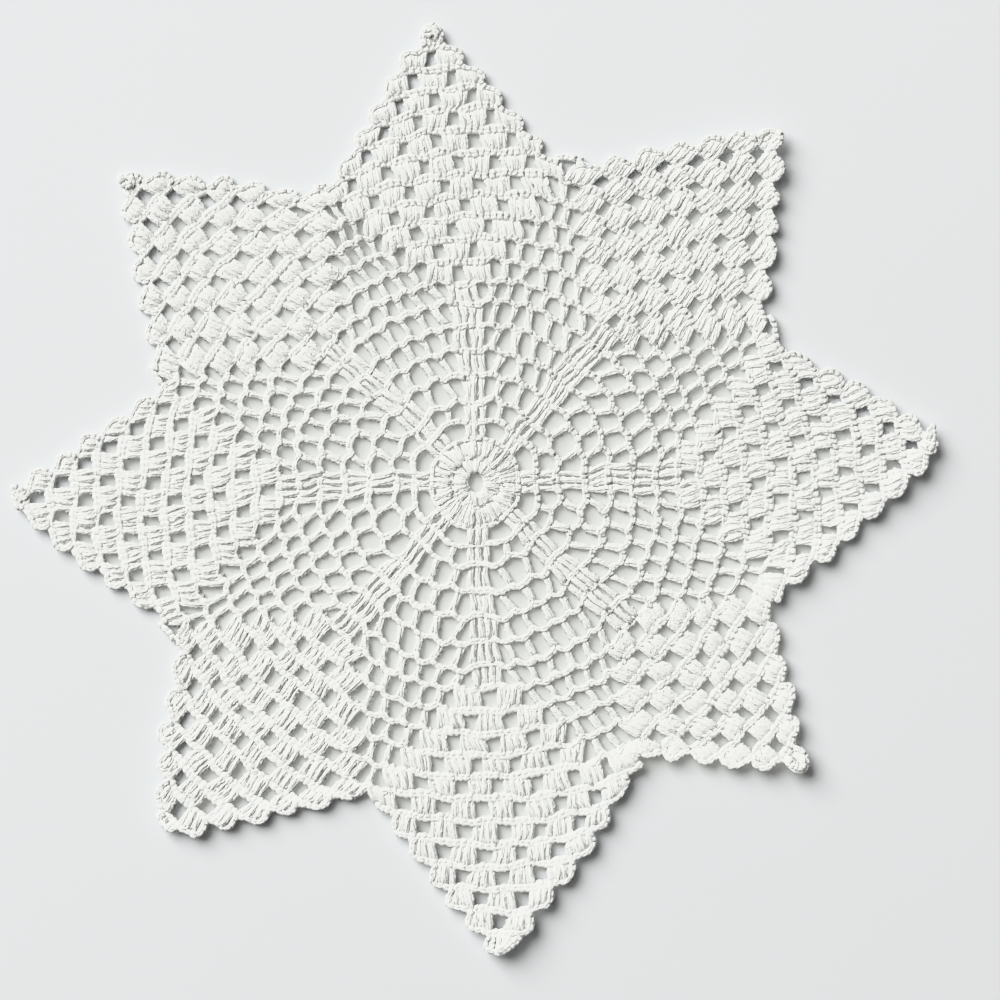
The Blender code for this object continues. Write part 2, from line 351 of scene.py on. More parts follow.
def thread(path, radius=STRAND, sides=STRAND_SIDES, closed=False):
    """A closed round thread along a path in mm, with its map in mm along and turns around."""
    path = [Vector(spot) for spot in path]
    if closed:
        path.append(path[0].copy())
    last = len(path) - 1
    lengths = [0.0]
    for here in range(last):
        lengths.append(lengths[-1] + (path[here + 1] - path[here]).length)
    ways = []
    for here in range(last + 1):
        before, after = max(here - 1, 0), min(here + 1, last)
        if closed and here in (0, last):
            before, after = last - 1, 1
        ways.append((path[after] - path[before]).normalized())
    turns = [Vector((0.0, 0.0, 1.0)).rotation_difference(ways[0])]
    for here in range(last):
        turns.append(ways[here].rotation_difference(ways[here + 1]) @ turns[-1])
    if closed:
        turns[-1] = turns[0]
    tube = bmesh.new()
    seam_map = tube.loops.layers.uv.new("thread")
    bmesh.ops.create_grid(tube, x_segments=sides, y_segments=last, size=0.5)
    for face in tube.faces:
        for corner in face.loops:
            ring = round((corner.vert.co.y + 0.5) * last)
            corner[seam_map].uv = (corner.vert.co.x + 0.5, lengths[ring])
    for vert in tube.verts:
        ring = round((vert.co.y + 0.5) * last)
        around = 2.0 * math.pi * (vert.co.x + 0.5)
        spoke = Vector((math.cos(around), math.sin(around), 0.0)) * radius
        vert.co = path[ring] + turns[ring] @ spoke
    bmesh.ops.remove_doubles(tube, verts=tube.verts, dist=radius * WELD)
    bmesh.ops.holes_fill(tube, edges=tube.edges, sides=sides)
    bmesh.ops.recalc_face_normals(tube, faces=tube.faces)
    return tube


def stencil(*lengths_of_thread):
    """Corners, faces and map of one stitch as arrays, ready to be repeated."""
    shape = {"spots": [], "corners": [], "starts": [], "seams": []}
    for tube in lengths_of_thread:
        seam_map = tube.loops.layers.uv["thread"]
        base = len(shape["spots"])
        tube.verts.index_update()
        shape["spots"].extend(tuple(vert.co) for vert in tube.verts)
        for face in tube.faces:
            shape["starts"].append(len(shape["corners"]))
            for corner in face.loops:
                shape["corners"].append(base + corner.vert.index)
                shape["seams"].append(tuple(corner[seam_map].uv))
        tube.free()
    return {name: np.array(values) for name, values in shape.items()}


sample = stencil(thread(((0.0, 0.0, 0.0), (0.0, 2.0, 0.5), (0.0, 4.0, 0.0))))
print("a sample of thread has", len(sample["spots"]), "corners and", len(sample["starts"]), "faces")

# %% [markdown]
# ## The stitches
# A double crochet post is two strands, a third one that runs slantwise down between them, and two
# yarn-overs lying low round all three. In the disc its feet wrap over the round below; everywhere
# else they're tucked under the braid they stand in. In a block one more loop lies behind each gap
# and fills it. A chain link is a hairpin loop whose open end is held by the next link, and the
# same loops lie on top of every row as a braid. Each is shaped once from a few bends, in
# mm across, along and up, and kept to a few dozen faces, because the cloth needs about two
# thousand posts, a thousand loops behind them and four thousand links.

# %% Shape the posts and the link
POST_HEIGHT = 7.0
LINK = 2.0
LEG = 0.47
MIDDLE_STRAND = 0.50
WRAP = 0.37
BEHIND_STRAND = 0.62

LEFT_LEG = ((-0.52, -0.78, -0.40), (-0.58, 0.0, 0.42), (-0.60, 1.9, 0.32),
            (-0.62, 3.8, 0.12), (-0.60, 5.3, 0.04), (-0.55, 6.6, -0.08))
RIGHT_LEG = ((0.52, -0.72, -0.45), (0.58, 0.0, 0.36), (0.58, 1.9, 0.24),
             (0.62, 3.8, 0.16), (0.60, 5.3, 0.0), (0.55, 6.6, -0.12))
LEFT_TUCKED = ((-0.48, -0.4, -0.30), (-0.46, 1.4, 0.06), (-0.48, 3.4, 0.18),
               (-0.54, 5.3, 0.20), (-0.56, 6.9, 0.05))
RIGHT_TUCKED = ((0.48, -0.4, -0.34), (0.44, 1.4, 0.12), (0.50, 3.4, 0.14),
                (0.54, 5.3, 0.24), (0.56, 6.9, 0.05))
SLANTING = ((0.22, -0.80, -0.30), (0.16, 0.1, 0.50), (0.04, 2.1, 0.42),
            (-0.14, 4.2, 0.30), (-0.18, 6.4, 0.0))
SLANTING_TUCKED = ((0.20, -0.3, -0.20), (0.18, 1.5, 0.28), (-0.04, 3.4, 0.36),
                   (-0.20, 5.3, 0.30), (-0.12, 6.9, 0.05))
LOW_WRAP = ((-0.94, 1.9, -0.30), (-0.46, 2.3, 0.24), (0.40, 3.0, 0.30), (0.94, 3.5, -0.30))
HIGH_WRAP = ((-0.96, 4.0, -0.30), (-0.46, 4.4, 0.28), (0.42, 5.0, 0.30), (0.96, 5.5, -0.30))
LOOP_BEHIND = ((0.0, 0.1, -0.42), (0.06, 1.9, -0.06), (-0.05, 4.9, -0.02), (0.0, 6.8, -0.20))
HAIRPIN = ((-1.35, -0.20, -0.15), (-0.62, -0.29, 0.06), (0.35, -0.32, 0.15), (0.98, -0.22, 0.06),
           (0.98, 0.22, 0.06), (0.35, 0.32, 0.15), (-0.62, 0.29, 0.06), (-1.35, 0.20, -0.15))

STITCHES = {
    "legs": ((LEFT_LEG, LEG), (RIGHT_LEG, LEG)),
    "tucked legs": ((LEFT_TUCKED, LEG), (RIGHT_TUCKED, LEG)),
    "wraps": ((SLANTING, MIDDLE_STRAND), (LOW_WRAP, WRAP), (HIGH_WRAP, WRAP)),
    "tucked wraps": ((SLANTING_TUCKED, MIDDLE_STRAND), (LOW_WRAP, WRAP), (HIGH_WRAP, WRAP)),
    "loop behind": ((LOOP_BEHIND, BEHIND_STRAND),),
    "link": ((HAIRPIN, STRAND),),
}
stencils = {name: stencil(*(thread(path, radius) for path, radius in strands))
            for name, strands in STITCHES.items()}
print("faces:", {name: len(shape["starts"]) for name, shape in stencils.items()})

# %% [markdown]
# ## Lists of stitches
# The work is charted before it is made: every post is a foot, a top and a few differences, and
# every link lies between two spots of a braid. Collecting them first keeps each part of the
# pattern a short loop.

# %% Collect posts and chains
hand = np.random.default_rng(11)
posts = {}
links = {}
WRAPPED, TUCKED, BEHIND = "feet wrapped over", "feet tucked under", "loop behind"


def post(piece, foot, top, feet=TUCKED,
         wide=1.0, flare=0.0, waist=0.0, bow=0.0, dome=0.0, loose=1.0):
    """One post: flare widens its top, waist both ends, bow and dome bend it, loose unsettles it."""
    row = (*foot, *top, wide, flare, waist, bow, dome, loose)
    posts.setdefault((piece, feet), []).append(row)


def chain(piece, path, pitch=LINK, wide=1.0):
    """Links of about one pitch along a path of spots: x, y, then perhaps height and width."""
    rest = (0.0, wide)
    path = np.array([(*spot, *rest[len(spot) - 2:]) for spot in path])
    along = np.concatenate(((0.0,), np.cumsum(np.hypot(*(path[1:, :2] - path[:-1, :2]).T))))
    count = max(1, round(float(along[-1] / pitch)))
    cuts = np.linspace(0.0, along[-1], count + 1)
    spots = np.stack([np.interp(cuts, along, column) for column in path.T], axis=1)
    for start, end in zip(spots[:-1], spots[1:]):
        links.setdefault(piece, []).append((*start, *end))


def counted():
    behind = sum(len(rows) for (piece, feet), rows in posts.items() if feet == BEHIND)
    standing = sum(map(len, posts.values())) - behind
    return f"{standing} posts, {behind} loops behind, {sum(map(len, links.values()))} links"


print("nothing hooked yet:", counted())

# %% [markdown]
# ## The close disc
# The work begins with a wound ring of thread, and two rounds of posts stand close on it.
# Their tops are further apart than their feet, so each post flares a little. A round below is its
# number of posts, their width and flare, the height of its braid and how far its stitches slip.

# %% Chart the disc
DISC_ROUNDS = ((24, 0.40, 0.36, -0.45, 0.35), (44, 0.42, 0.12, -0.05, 0.9))
RING_ACROSS = (2.85, 3.70)
RING_FEET = (3.2, 4.0)
UNDER_BRAID = 0.2
SIDE_SLIP = 0.25
BRAID_SLIP = 0.35
DISC_LOOSE = 3.0
MIDDLE = "middle"


def round_spot(radius, share):
    return radius * heading(2.0 * math.pi * share)


for number, (count, wide, flare, braid_height, slips) in enumerate(DISC_ROUNDS):
    foot_radius = np.array(RING_FEET) if number == 0 else ROUND_TOPS[number]
    top_radius = ROUND_TOPS[number + 1] - UNDER_BRAID
    step = 2.0 * math.pi * top_radius / count
    for standing in range(count):
        share = (standing + 0.5 * number) / count
        slip = slips * hand.uniform(-1.0, 1.0, 3)
        foot = round_spot(1.0, share + SIDE_SLIP * slip[2] / count) * (foot_radius + slip[0])
        post(MIDDLE, foot, round_spot(top_radius + slip[1], share), feet=WRAPPED,
             wide=wide * step, flare=flare, loose=DISC_LOOSE)
    braid = []
    for turned in range(count + 1):
        radius = top_radius + BRAID_SLIP * hand.uniform(-1.0, 1.0)
        braid.append((*round_spot(radius, turned / count), braid_height))
    chain(MIDDLE, braid, pitch=step)
print("disc:", counted())

# %% [markdown]
# ## Spokes and net
# Three, then four posts stand side by side in every round of a spoke, under a flat bar of chain.
# Between the spokes each round adds one chain arch, and a single post with a small knot on top
# stands in every arch of the round before, so the windows are staggered like bricks. Past the
# seventh round the arches get fewer again, between the points. The last one closes the notch,
# except to the left of the bottom point.

# %% Chart the spokes
FIRST_SPOKE_HALF = 2.3
SPOKE_LOOK = {"wide": 1.05, "waist": 0.28, "loose": 2.2}
BAR_HEIGHT, BAR_WIDE, BAR_OVER = 0.05, 1.5, 0.6


def chart_spoke(point, level):
    half_below = spoke_half(level - 1) if level > 1 else FIRST_SPOKE_HALF
    tops = []
    for share in np.linspace(-1.0, 1.0, posts_in_spoke(level)):
        tops.append(place(point, level, share * spoke_half(level)))
        foot = place(point, level - 1.0, share * half_below)
        post(MIDDLE, foot, tops[-1], **SPOKE_LOOK)
    way = (tops[-1] - tops[0]) / np.hypot(*(tops[-1] - tops[0]))
    bar = [tops[0] - way * BAR_OVER] + tops[1:-1] + [tops[-1] + way * BAR_OVER]
    chain(MIDDLE, [(*spot, BAR_HEIGHT, BAR_WIDE) for spot in bar])


for point in points:
    for level in range(1, NET_ROUNDS + 1):
        chart_spoke(point, level)
print("with the spokes:", counted())

# %% Chart the net
NET = "net"
NET_LOOK = {"wide": 1.15, "waist": 0.25, "loose": 1.5}
ARCH_BENDS = 7
ARCH_HEIGHT, ARCH_WIDE, ARCH_PITCH = 0.2, 1.3, 2.1
KNOT_HEIGHT, KNOT_WIDE, KNOT_HALF = 0.15, 1.25, 1.0
WIDEST_ROWS = 6
OPEN_NOTCHES = ("south",)


def net_levels(number):
    """Number of the last net round between a point and the next one."""
    shared = min(points[number]["right"], points[next_point(number)]["left"])
    return NET_ROUNDS + (shared if shared >= WIDEST_ROWS else shared - 1)


def chart_net(number, level):
    count = net_count(level)
    bow = ARCH_BOW if level <= NET_ROUNDS or count > 1 else 0.0
    for arch in range(count):
        first, last = top_share(level, arch), top_share(level, arch + 1)
        path = []
        for share in np.linspace(0.0, 1.0, ARCH_BENDS):
            out = bow * math.sin(math.pi * share)
            path.append(net_spot(number, level, first + (last - first) * share, out))
        chain(NET, [(*spot, ARCH_HEIGHT) for spot in path], pitch=ARCH_PITCH, wide=ARCH_WIDE)
    for standing in range(1, count):
        foot = net_spot(number, level - 1, foot_share(level, standing), ARCH_BOW)
        top = net_spot(number, level, top_share(level, standing))
        post(NET, foot, top, **NET_LOOK)
        along = net_spot(number, level, top_share(level, standing) + 0.01) - top
        along *= KNOT_HALF / np.hypot(*along)
        chain(NET, [(*(top - along), KNOT_HEIGHT), (*(top + along), KNOT_HEIGHT)], wide=KNOT_WIDE)


for number, point in enumerate(points):
    for level in range(1, net_levels(number) + 1):
        at_notch = level > NET_ROUNDS and net_count(level) == 1
        if not (at_notch and point["name"] in OPEN_NOTCHES):
            chart_net(number, level)
print("with the net:", counted())

# %% [markdown]
# ## The points
# Each row of a point is blocks of four posts with windows of two chains between them, and every
# block stands over a window of the row below. The feet are tucked under the braid of that row, so
# the braids lie on top as smooth bands, a little lower over the windows. Where a point narrows,
# the last block of a row is left standing alone: its posts fan out and its braid rounds them off
# as a scallop.

# %% Spots in the rows of a point
IN_BLOCK = (0.5, 1.5, 2.5)
BRAID_RISE = (0.2, 0.1, 0.0)
BRAID_HEIGHT = (0.38, 0.30, 0.12)
LOBE_MIDDLE = (0.45, 0.25)
EDGE_IN = 0.85
NET_FOOT_OUT = 0.2


def phase(count, row):
    """Stitches from the middle of the nearest block, for a stitch counted from the middle line."""
    half = STITCHES_IN_REPEAT / 2.0
    return (count - half * row + half) % STITCHES_IN_REPEAT - half


def across_block(in_block, values):
    return float(np.interp(abs(in_block), IN_BLOCK, values))


def row_end(point, side, row):
    """Stitches from the middle line of a point to the middle of the end block of this row."""
    return STITCHES_IN_REPEAT * half_reach(point, side, row) if row > 0 else 0.0


def row_top(number, row, count):
    """Spot on the braid of a row at a stitch counted from the middle line, with its height."""
    point = points[number]
    side = "right" if count > 0.0 else "left"
    if row == 0:
        return (*place(point, FOOT_LEVEL, count * stitch(point)), 0.0)
    share = drawn_in(point, side, row, squeeze[(number, side)])
    spot = place(point, FOOT_LEVEL + row, count * stitch(point) * share)
    in_block = phase(count, row)
    spot = spot + outward(point, FOOT_LEVEL + row)[0] * across_block(in_block, BRAID_RISE)
    return (*spot, across_block(in_block, BRAID_HEIGHT))


def towards(spot, middle, way_in):
    return spot + (middle - spot) / np.hypot(*(middle - spot)) * way_in


def edge_spot(number, side, row, rise, out):
    """Spot inside the rim of a scallop, at the middle of its braid."""
    middle = rim_spot(number, side, row, *LOBE_MIDDLE)
    return towards(rim_spot(number, side, row, rise, out), middle, EDGE_IN)


def foot_in_net(number, side, row, windows):
    """Foot of a post that stands beyond the end of the row below, in an arch of the net."""
    level = NET_ROUNDS + row - 1
    count = net_count(level)
    tops = [top_share(level, standing) for standing in range(count + 1)]
    share = np.interp(windows, range(count + 1), tops)
    if side == "left":
        return net_spot((number - 1) % len(points), level, 1.0 - share, NET_FOOT_OUT)
    return net_spot(number, level, share, NET_FOOT_OUT)


print("stitches to the end block of row 3:", row_end(points[0], "right", 3))

# %% Chart the blocks and their braid
BLOCK_DOME = (0.65, 0.45, 0.1)
BLOCK_BULGE = (0.0, 0.25, 0.45)
BLOCK_POST_WIDE, BLOCK_LOOSE = 1.17, 1.8
POST_FLARE = 0.12
FOOT_GATHER, TOP_GATHER = 1.0, 1.02
LAST_POST = 1.5
NEAR_WINDOW, FAR_WINDOW = 3.0, 4.8
FAN = {-0.5: (0.98, 0.14), 0.5: (0.94, 0.56), 1.5: (0.75, 0.93)}
SCALLOP_FOOT = ((-0.05, 0.84),)
BRAID_WIDE, BRAID_PITCH = 1.85, 1.95
EDGE_HEIGHT, EDGE_WIDE = 0.5, 1.15


def chart_posts(number, row):
    point = points[number]
    piece, full = point["name"], point["full"]
    for side, sign in SIDES.items():
        end, end_below = row_end(point, side, row), row_end(point, side, row - 1)
        window = NEAR_WINDOW if end - end_below < STITCHES_IN_REPEAT else FAR_WINDOW
        before = None
        for count in np.arange(0.5, end + HALF_BLOCK, 1.0):
            in_block = phase(sign * count, row)
            if abs(in_block) > HALF_BLOCK:
                before = None
                continue
            drawn = sign * count - in_block * (1.0 - TOP_GATHER * full)
            top = np.array(row_top(number, row, drawn)[:2])
            beyond = count - (end_below + LAST_POST)
            if beyond > 0.0:
                foot = foot_in_net(number, side, row, beyond / window)
            else:
                gathered = sign * count - in_block * (1.0 - FOOT_GATHER * full)
                foot = np.array(row_top(number, row - 1, gathered)[:2])
            if row >= point[side] and count - end in FAN:
                top = edge_spot(number, side, row, *FAN[count - end])
            bulge = math.copysign(across_block(in_block, BLOCK_BULGE), in_block)
            dome = across_block(in_block, BLOCK_DOME)
            post(piece, foot, top, wide=BLOCK_POST_WIDE * full ** 0.5, flare=POST_FLARE,
                 bow=bulge, loose=BLOCK_LOOSE, dome=dome)
            if before is not None:
                half_foot, half_top = (foot + before[0]) / 2.0, (top + before[1]) / 2.0
                post(piece, half_foot, half_top, feet=BEHIND, dome=dome)
            before = (foot, top)


def chart_braid(number, row):
    point = points[number]
    braid = []
    for side, sign in SIDES.items():
        first = row_end(point, side, row) + LAST_POST
        half = []
        if row >= point[side]:
            first -= 2.0 * LAST_POST
            lobe = SCALLOP + SCALLOP_FOOT if row > point[side] else SCALLOP[:-2]
            half = [(*edge_spot(number, side, row, rise, out), EDGE_HEIGHT, EDGE_WIDE)
                    for rise, out in reversed(lobe)]
        half.extend(row_top(number, row, sign * count) for count in np.arange(first, 0.0, -1.0))
        braid.extend(half if side == "left" else reversed(half))
    chain(point["name"], braid, pitch=BRAID_PITCH, wide=BRAID_WIDE)


for number, point in enumerate(points):
    for row in range(1, point["rows"] + 1):
        chart_posts(number, row)
        chart_braid(number, row)
print("with the blocks:", counted())

# %% [markdown]
# ## The tips
# A last small block closes each point, rounded off like the scallops. Some tips also end in a
# curl of thread or a rolled edge, given as bends: how far out, how far up the tip, and how high.

# %% Chart the tips
TIP_POSTS = ((0.5, 0.90, 0.22), (1.5, 0.66, 0.62))
TIP_FOOT = (0.05, 0.80)
TIP_MIDDLE = 0.4
TIP_POST_WIDE, TIP_DOME = 0.95, 0.3
CURL_PITCH, CURL_THREAD = 1.6, 1.4
TIP_CURLS = {
    "north": (
        ((0.0, 0.3, 0.7), (0.42, 0.6, 1.3), (0.05, 1.0, 1.7), (-0.4, 0.7, 1.4), (-0.1, 0.4, 1.2)),),
    "east": (
        ((0.5, 0.2, 0.8), (0.0, 0.65, 1.2), (-0.5, 0.85, 1.6), (-0.95, 0.9, 2.0), (-1.3, 0.95, 2.4)),
        ((0.2, 0.0, 0.9), (-0.3, 0.45, 1.5), (-0.75, 0.62, 1.8), (-1.1, 0.7, 2.1))),
    "south_east": (
        ((0.3, 0.1, 0.9), (0.5, 0.5, 1.2), (0.1, 0.85, 1.4), (-0.4, 0.6, 1.2)),),
    "south": (
        ((-1.6, 0.0, 0.5), (-1.5, 0.25, 0.7), (-1.12, 0.52, 0.9), (-0.6, 0.76, 0.9), (0.0, 0.88, 0.6)),
        ((-1.15, 0.05, 0.5), (-1.05, 0.35, 0.8), (-0.65, 0.6, 0.9), (-0.2, 0.75, 0.8))),
    "west": (
        ((0.0, 0.2, 0.7), (0.35, 0.6, 1.2), (0.8, 0.75, 1.7), (1.15, 0.8, 2.0)),
        ((0.1, -0.1, 0.7), (0.5, 0.35, 1.2), (0.85, 0.5, 1.6))),
    "north_west": (
        ((0.0, 0.3, 0.8), (0.4, 0.8, 1.3), (-0.1, 1.1, 1.7), (-0.45, 0.7, 1.4), (0.0, 0.5, 1.5)),),
}


def tip_spot(number, rise, out):
    """Spot on the rim of a tip: rise in shares of its height, out in shares of half its width."""
    point = points[number]
    base = FOOT_LEVEL + point["rows"]
    height = (point["reach"] - axis_radius(point, base)) / point["row"]
    return place(point, base + rise * height, out * HALF_BLOCK * stitch(point))


def chart_tip(number):
    point = points[number]
    piece = point["name"]
    lobe = []
    for side, sign in SIDES.items():
        for count, rise, out in TIP_POSTS:
            foot = np.array(row_top(number, point["rows"], sign * count)[:2])
            top = tip_spot(number, rise, sign * out)
            post(piece, foot, top, wide=TIP_POST_WIDE, dome=TIP_DOME)
        half = [tip_spot(number, rise, sign * out) for rise, out in (TIP_FOOT,) + TIP]
        lobe.extend(half if side == "left" else reversed(half))
    middle = tip_spot(number, TIP_MIDDLE, 0.0)
    lobe = [(*towards(spot, middle, EDGE_IN), EDGE_HEIGHT) for spot in lobe]
    chain(piece, lobe, pitch=BRAID_PITCH, wide=EDGE_WIDE)
    for path in TIP_CURLS.get(piece, ()):
        curl = [(*tip_spot(number, rise, out), height) for out, rise, height in path]
        chain(piece, curl, pitch=CURL_PITCH, wide=CURL_THREAD)


for number in range(len(points)):
    chart_tip(number)
print("whole doily:", counted())

# %% [markdown]
# ## Hook it
# Each stitch is now bent into its own place: a post is stretched from its foot to its top, a link
# from one end to the other, and both ride on the waves of the cloth. To keep the work from looking
# machine-made, the whole lattice is pulled a little uneven, each strand wavers, and every bend is
# slightly off, the same way every time. All stitches of one part are joined into one mesh,
# because thousands of loose objects would be slow.

# %% Lay the thread unevenly on the table
REST_HEIGHT = 0.83
PRESSED = 0.88
HUB_PUFF, HUB_PUFF_ACROSS = 1.0, 26.0
UNEVEN, UNEVEN_RADII = 0.34, (4.0, 30.0)
WAVY = 0.11
FUZZY = 0.045


def on_the_table(x, y, height, waver=1.0):
    """Corners in metres in the doily's own frame, from mm on the chart and above the cloth."""
    pull = smooth(*UNEVEN_RADII, np.hypot(x, y)) * UNEVEN
    across = np.sin(x / 5.3 + y / 9.1 + 1.0) + np.sin(y / 3.9 - x / 8.0) + np.sin(x / 2.3 - y / 1.9)
    along = np.sin(y / 5.9 - x / 8.3) + np.sin(x / 3.7 + y / 7.0 + 2.0) + np.sin(x / 2.1 + y / 2.4)
    wavy = waver * WAVY * np.stack((
        np.sin(2.1 * y + 0.9 * x) + np.sin(1.3 * x - 1.7 * y + 1.0),
        np.sin(2.0 * x - 0.8 * y + 2.0) + np.sin(1.2 * y + 1.8 * x),
        np.sin(1.9 * x + 1.1 * y) * np.sin(1.4 * y - 1.2 * x),
    ))
    off = FUZZY * hand.standard_normal((3, *np.shape(x))) + wavy
    puff = HUB_PUFF * np.exp(-((np.hypot(x, y) / HUB_PUFF_ACROSS) ** 2))
    up = relief(x, y) + puff + REST_HEIGHT + PRESSED * height
    return np.stack((
        (x + across * pull + HUB_AT[0] + off[0]) * MM,
        (y + along * pull + HUB_AT[1] + off[1]) * MM,
        (up + off[2]) * MM,
    ), axis=-1)


print("the thread rests", REST_HEIGHT, "mm above the underside of the cloth")

# %% Bend the stitches into place
WIDE_DIFFERS, BOW_DIFFERS, LIFT_DIFFERS = 0.07, 0.09, 0.07
LINK_WIDE_DIFFERS, LINK_LIFT_DIFFERS = 0.06, 0.05
WRAP_SLIP = 0.10
CALM_BRAID = 0.6
LOOPS = "_loops"
parts = {}


def keep(piece, shape, corners):
    """Adds stitches, given as stitches x corners x 3, to the arrays of a piece."""
    count = len(corners)
    base = np.arange(count)[:, None] * len(shape["spots"])
    faces = np.arange(count)[:, None] * len(shape["corners"])
    parts.setdefault(piece, []).append({
        "spots": corners.reshape(-1, 3),
        "corners": (shape["corners"][None, :] + base).ravel(),
        "starts": (shape["starts"][None, :] + faces).ravel(),
        "seams": np.tile(shape["seams"], (count, 1)),
        "tones": np.repeat(hand.random(count), len(shape["spots"])),
    })


def rightward(way):
    """Unit ways to the right of ways in the plane."""
    right = np.stack((way[..., 1], -way[..., 0]), axis=-1)
    return right / np.linalg.norm(way, axis=-1, keepdims=True)


def hook_posts(piece, feet):
    rows = np.array(posts[piece, feet])
    count = len(rows)
    foot, top = rows[:, None, 0:2], rows[:, None, 2:4]
    wide, flare, waist, bow, dome, loose = (rows[:, None, column] for column in range(4, 10))
    wide = wide * (1.0 + WIDE_DIFFERS * hand.standard_normal((count, 1)))
    bow = bow + BOW_DIFFERS * loose * hand.standard_normal((count, 1))
    lift = LIFT_DIFFERS * loose * hand.standard_normal((count, 1))
    slip = WRAP_SLIP * hand.uniform(-1.0, 1.0, (count, 1))
    way = top - foot
    strands = {
        WRAPPED: ((piece, "legs", 0.0), (piece + LOOPS, "wraps", slip)),
        TUCKED: ((piece, "tucked legs", 0.0), (piece + LOOPS, "tucked wraps", slip)),
        BEHIND: ((piece + LOOPS, "loop behind", 0.0),),
    }
    for kept_as, name, slipped in strands[feet]:
        x, y, z = stencils[name]["spots"].T
        share = y / POST_HEIGHT
        share = share + slipped * np.sin(math.pi * np.clip(share, 0.0, 1.0))
        swell = np.sin(math.pi * np.clip(share, 0.0, 1.0))
        spread = 1.0 + flare * (2.0 * share - 1.0) + waist * (2.0 * share - 1.0) ** 2
        side = x * wide * spread + bow * swell
        spots = foot + way * np.atleast_2d(share)[..., None] + rightward(way) * side[..., None]
        height = z + dome * swell + lift
        keep(kept_as, stencils[name], on_the_table(spots[..., 0], spots[..., 1], height))


def hook_links(piece):
    rows = np.array(links[piece])
    count = len(rows)
    start, end = rows[:, None, 0:4], rows[:, None, 4:8]
    differs = 1.0 + LINK_WIDE_DIFFERS * hand.standard_normal((count, 1))
    wide = 0.5 * (start[..., 3] + end[..., 3]) * differs
    lift = LINK_LIFT_DIFFERS * hand.standard_normal((count, 1))
    x, y, z = stencils["link"]["spots"].T
    share = x / LINK + 0.5
    way = end[..., :2] - start[..., :2]
    side = rightward(way) * (y * wide)[..., None]
    spots = start[..., :2] + way * share[None, :, None] - side
    height = start[..., 2] + (end[..., 2] - start[..., 2]) * share + z + lift
    kept_as = piece if piece == NET else piece + LOOPS
    laid = on_the_table(spots[..., 0], spots[..., 1], height, CALM_BRAID)
    keep(kept_as, stencils["link"], laid)


for piece, feet in posts:
    hook_posts(piece, feet)
for piece in links:
    hook_links(piece)
print("stitches hooked for:", list(parts))

# %% [markdown]
# ## The ring in the middle
# The ring that starts the work is thread wound round a finger several times. It is a thick closed
# tube with the posts of the first round hooked over it. With it in place, the stitches of each
# part become one mesh, with the map and a tone of its own for each stitch.

# %% Wind the ring and join the stitches
RING_THICK, RING_HEIGHT = 0.62, -0.45
RING_BENDS, RING_SIDES = 32, 8

ring_path = [(*round_spot(1.0, bend / RING_BENDS) * RING_ACROSS, RING_HEIGHT)
             for bend in range(RING_BENDS)]
ring = stencil(thread(ring_path, RING_THICK, RING_SIDES, closed=True))
keep(MIDDLE + LOOPS, ring, on_the_table(*ring["spots"].T, CALM_BRAID)[None])


def put(name, data):
    item = bpy.data.objects.new(name, data)
    bpy.context.collection.objects.link(item)
    return item


def joined(piece):
    """One mesh object from all the stitches kept for a piece."""
    kept = parts[piece]
    spots, seams, tones = (np.concatenate([part[name] for part in kept]).astype(np.float32)
                           for name in ("spots", "seams", "tones"))
    spot_bases = np.cumsum([0] + [len(part["spots"]) for part in kept])
    corner_bases = np.cumsum([0] + [len(part["corners"]) for part in kept])
    corners = np.concatenate([part["corners"] + base for part, base in zip(kept, spot_bases)])
    starts = np.concatenate([part["starts"] + base for part, base in zip(kept, corner_bases)])
    mesh = bpy.data.meshes.new(piece)
    mesh.vertices.add(len(spots))
    mesh.loops.add(len(corners))
    mesh.polygons.add(len(starts))
    mesh.vertices.foreach_set("co", spots.ravel())
    mesh.loops.foreach_set("vertex_index", corners.astype(np.int32))
    mesh.polygons.foreach_set("loop_start", starts.astype(np.int32))
    mesh.update(calc_edges=True)
    mesh.polygons.foreach_set("use_smooth", np.ones(len(starts), dtype=bool))
    mesh.uv_layers.new(name="thread").data.foreach_set("uv", seams.ravel())
    mesh.attributes.new("tone", "FLOAT", "POINT").data.foreach_set("value", tones)
    mesh.validate()
    mesh.calc_loop_triangles()
    print(f"{piece}: {len(mesh.loop_triangles)} triangles")
    return put(piece, mesh)


pieces = {piece: joined(piece) for piece in parts}

# %% [markdown]
# ## Mercerised cotton
# The thread is three plies twisted together, white, hard and slightly glossy, with a faint fuzz.
# The twist follows each thread's own map, so it turns round every strand as it does in the hand.
# It could be geometry, but at a third of a millimetre it is finer than any outline shows, so it
# is a bump. The grooves between plies are also painted a little greyer, as painted shade.

# %% Small helpers for node trees


def feed(tree, node, inputs):
    """Links each named or numbered input to a socket, or sets it to a plain value."""
    for name, value in inputs.items():
        if isinstance(value, bpy.types.NodeSocket):
            tree.links.new(value, node.inputs[name])
        else:
            node.inputs[name].default_value = value


def add(tree, kind, inputs=None, **settings):
    node = tree.nodes.new(kind)
    for name, value in settings.items():
        setattr(node, name, value)
    feed(tree, node, inputs or {})
    return node


def work_out(tree, value, *steps):
    """A chain of Math nodes: each step is an operation and its second input."""
    for operation, other in steps:
        value = add(tree, "ShaderNodeMath", {0: value, 1: other}, operation=operation).outputs[0]
    return value


def noise(tree, where, scale, detail):
    inputs = {"Vector": where, "Scale": scale, "Detail": detail}
    return add(tree, "ShaderNodeTexNoise", inputs).outputs[0]


def mixed(tree, share, first, second):
    """A blend of two colours, each a socket or four numbers."""
    inputs = {"Factor": share, "A": first, "B": second}
    return add(tree, "ShaderNodeMix", inputs, data_type="RGBA").outputs["Result"]


